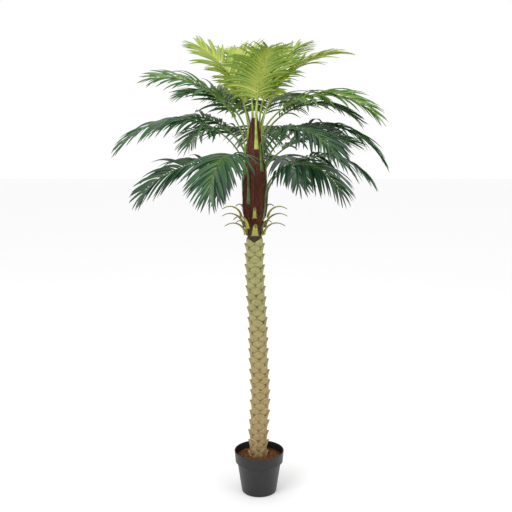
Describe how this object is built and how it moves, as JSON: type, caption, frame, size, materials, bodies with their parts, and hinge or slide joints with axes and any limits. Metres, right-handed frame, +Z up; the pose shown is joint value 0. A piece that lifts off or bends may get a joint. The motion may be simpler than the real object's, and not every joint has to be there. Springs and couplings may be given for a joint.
{
  "type": "artificial areca palm",
  "caption": "Artificial areca palm: a slim trunk of overlapping leaf boots, a fibre-wrapped stem with hooked stubs, and tiers of arching feathery fronds, in a small black nursery pot.",
  "frame": {"origin": "centre of the pot's flat underside", "axes": "+Z up the trunk, +X to the right and -Y towards the side that shows in the picture"},
  "size_m": [1.074, 0.8816, 1.8138],
  "materials": {
    "black_plastic": "black moulded polypropylene, satin-matt",
    "coir": "loose orange-brown coconut fibre over cement",
    "trunk_bark": "moulded leaf boots, khaki green at the top and tan lower down, brown in the hollows",
    "palm_fibre": "red-brown woven palm fibre",
    "stub_green": "yellow-green moulded plastic with brown edges",
    "lower_leaf": "printed polyester leaf, dark glossy green",
    "middle_leaf": "printed polyester leaf, dark green",
    "upper_leaf": "printed polyester leaf, middle green",
    "top_leaf": "printed polyester leaf, lime green"
  },
  "bodies": {
    "root": {"crown_stem": "palm_fibre", "lower_frond_1": "lower_leaf", "lower_frond_2": "lower_leaf", "lower_frond_2_end": "lower_leaf", "lower_frond_3": "lower_leaf", "lower_frond_3_end": "lower_leaf", "lower_frond_4": "lower_leaf", "lower_frond_4_end": "lower_leaf", "lower_frond_5": "lower_leaf", "lower_frond_5_end": "lower_leaf", "lower_frond_6": "lower_leaf", "lower_frond_6_end": "lower_leaf", "middle_frond_1": "middle_leaf", "middle_frond_1_end": "middle_leaf", "middle_frond_2": "middle_leaf", "middle_frond_2_end": "middle_leaf", "middle_frond_3": "middle_leaf", "middle_frond_4": "middle_leaf", "middle_frond_4_end": "middle_leaf", "middle_frond_5": "middle_leaf", "middle_frond_6": "middle_leaf", "middle_frond_6_end": "middle_leaf", "middle_frond_7": "middle_leaf", "middle_frond_7_end": "middle_leaf", "middle_frond_8": "middle_leaf", "middle_frond_8_end": "middle_leaf", "pot": "black_plastic", "pot_fill": "coir", "stub_01": "stub_green", "stub_02": "stub_green", "stub_03": "stub_green", "stub_04": "stub_green", "stub_05": "stub_green", "stub_06": "stub_green", "stub_07": "stub_green", "stub_08": "stub_green", "stub_09": "stub_green", "stub_10": "stub_green", "stub_11": "stub_green", "stub_12": "stub_green", "stub_13": "stub_green", "stub_14": "stub_green", "top_frond_1": "top_leaf", "top_frond_2": "top_leaf", "top_frond_3": "top_leaf", "top_frond_4": "top_leaf", "top_frond_5": "top_leaf", "top_frond_6": "top_leaf", "trunk": "trunk_bark", "upper_frond_1": "upper_leaf", "upper_frond_2": "upper_leaf", "upper_frond_2_end": "upper_leaf", "upper_frond_3": "upper_leaf", "upper_frond_3_end": "upper_leaf", "upper_frond_4": "upper_leaf", "upper_frond_4_end": "upper_leaf", "upper_frond_5": "upper_leaf", "upper_frond_5_end": "upper_leaf", "upper_frond_6": "upper_leaf"}
  },
  "joints": []
}
